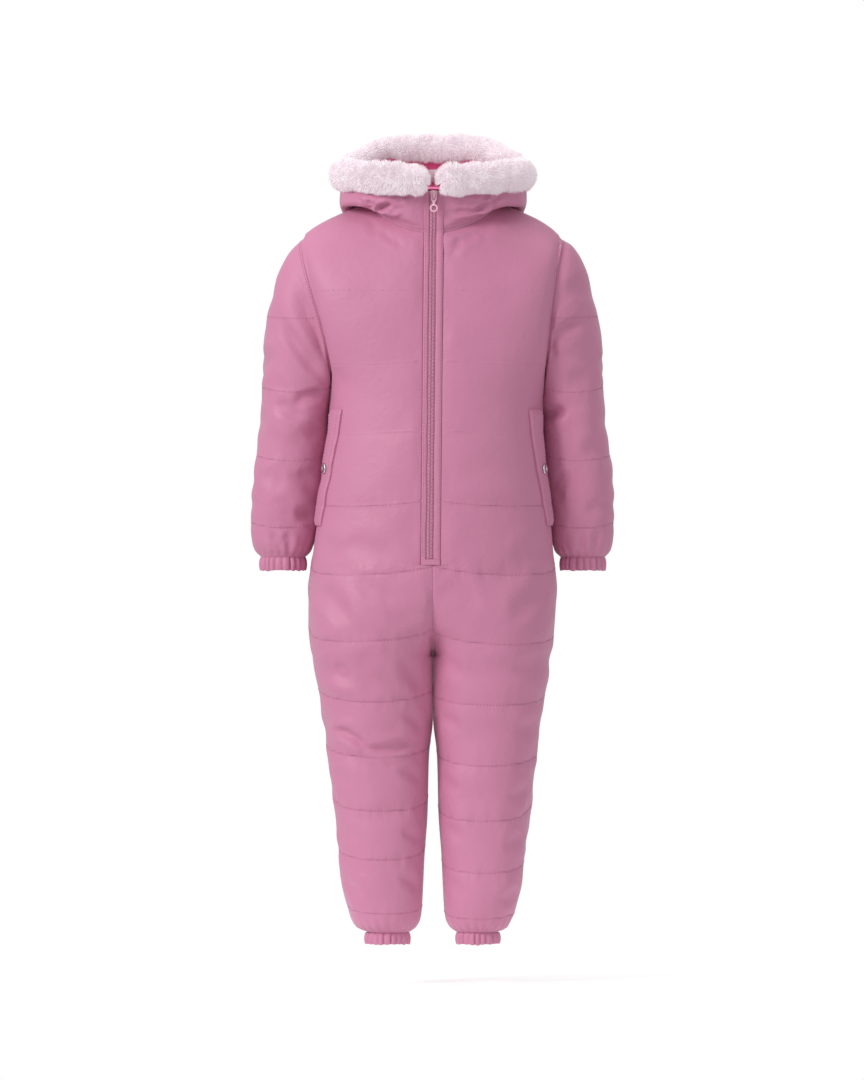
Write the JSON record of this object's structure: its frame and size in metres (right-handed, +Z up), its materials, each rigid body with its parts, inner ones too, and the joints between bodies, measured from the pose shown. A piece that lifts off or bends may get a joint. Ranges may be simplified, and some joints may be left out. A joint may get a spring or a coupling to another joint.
{
  "type": "child's snowsuit",
  "caption": "Toddler's one-piece quilted snowsuit with a fur-edged hood, front zip, slanted pocket welts and gathered wrist and ankle hems.",
  "frame": {"origin": "middle of the neck opening, level with the points where the shoulder seams meet the neck seam", "axes": "+Z up, -Y out of the front of the suit, +X to the wearer's left"},
  "size_m": [0.3982, 0.2361, 0.8928],
  "materials": {
    "shell": "soft satin",
    "lining": "satin",
    "fur": "long pile",
    "label_white": "matt",
    "coil": "satin",
    "enamel": "gloss",
    "snap_metal": "polished"
  },
  "bodies": {
    "garment": {"front_shin_left": "shell", "back_shin_left": "shell", "front_thigh_left": "shell", "back_thigh_left": "shell", "front_hip_left": "shell", "back_hip_left": "shell", "front_chest_left": "shell", "back_chest_left": "shell", "sleeve_left": "shell", "wrist_casing_left": "shell", "ankle_casing_left": "shell", "hood_left": "shell", "pocket_welt_left": "shell", "zip_flap_left": "shell", "pocket_snap_left": "snap_metal", "front_shin_right": "shell", "back_shin_right": "shell", "front_thigh_right": "shell", "back_thigh_right": "shell", "front_hip_right": "shell", "back_hip_right": "shell", "front_chest_right": "shell", "back_chest_right": "shell", "sleeve_right": "shell", "wrist_casing_right": "shell", "ankle_casing_right": "shell", "hood_right": "shell", "pocket_welt_right": "shell", "zip_flap_right": "shell", "pocket_snap_right": "snap_metal", "hood_lining": "lining", "hood_fur": "fur", "hang_loop": "label_white", "zip_tape": "shell", "zip_coil": "coil", "zip_end_bar": "shell", "slider": "enamel"},
    "pull": {"pull_tab": "enamel"}
  },
  "joints": [
    {"name": "pull_tab_hinge", "type": "hinge", "parent": "garment", "child": "pull", "pos_m": [0.00086, -0.07471, 0.00313], "axis": [-1, 0, 0], "range_deg": [-14, 115]}
  ]
}
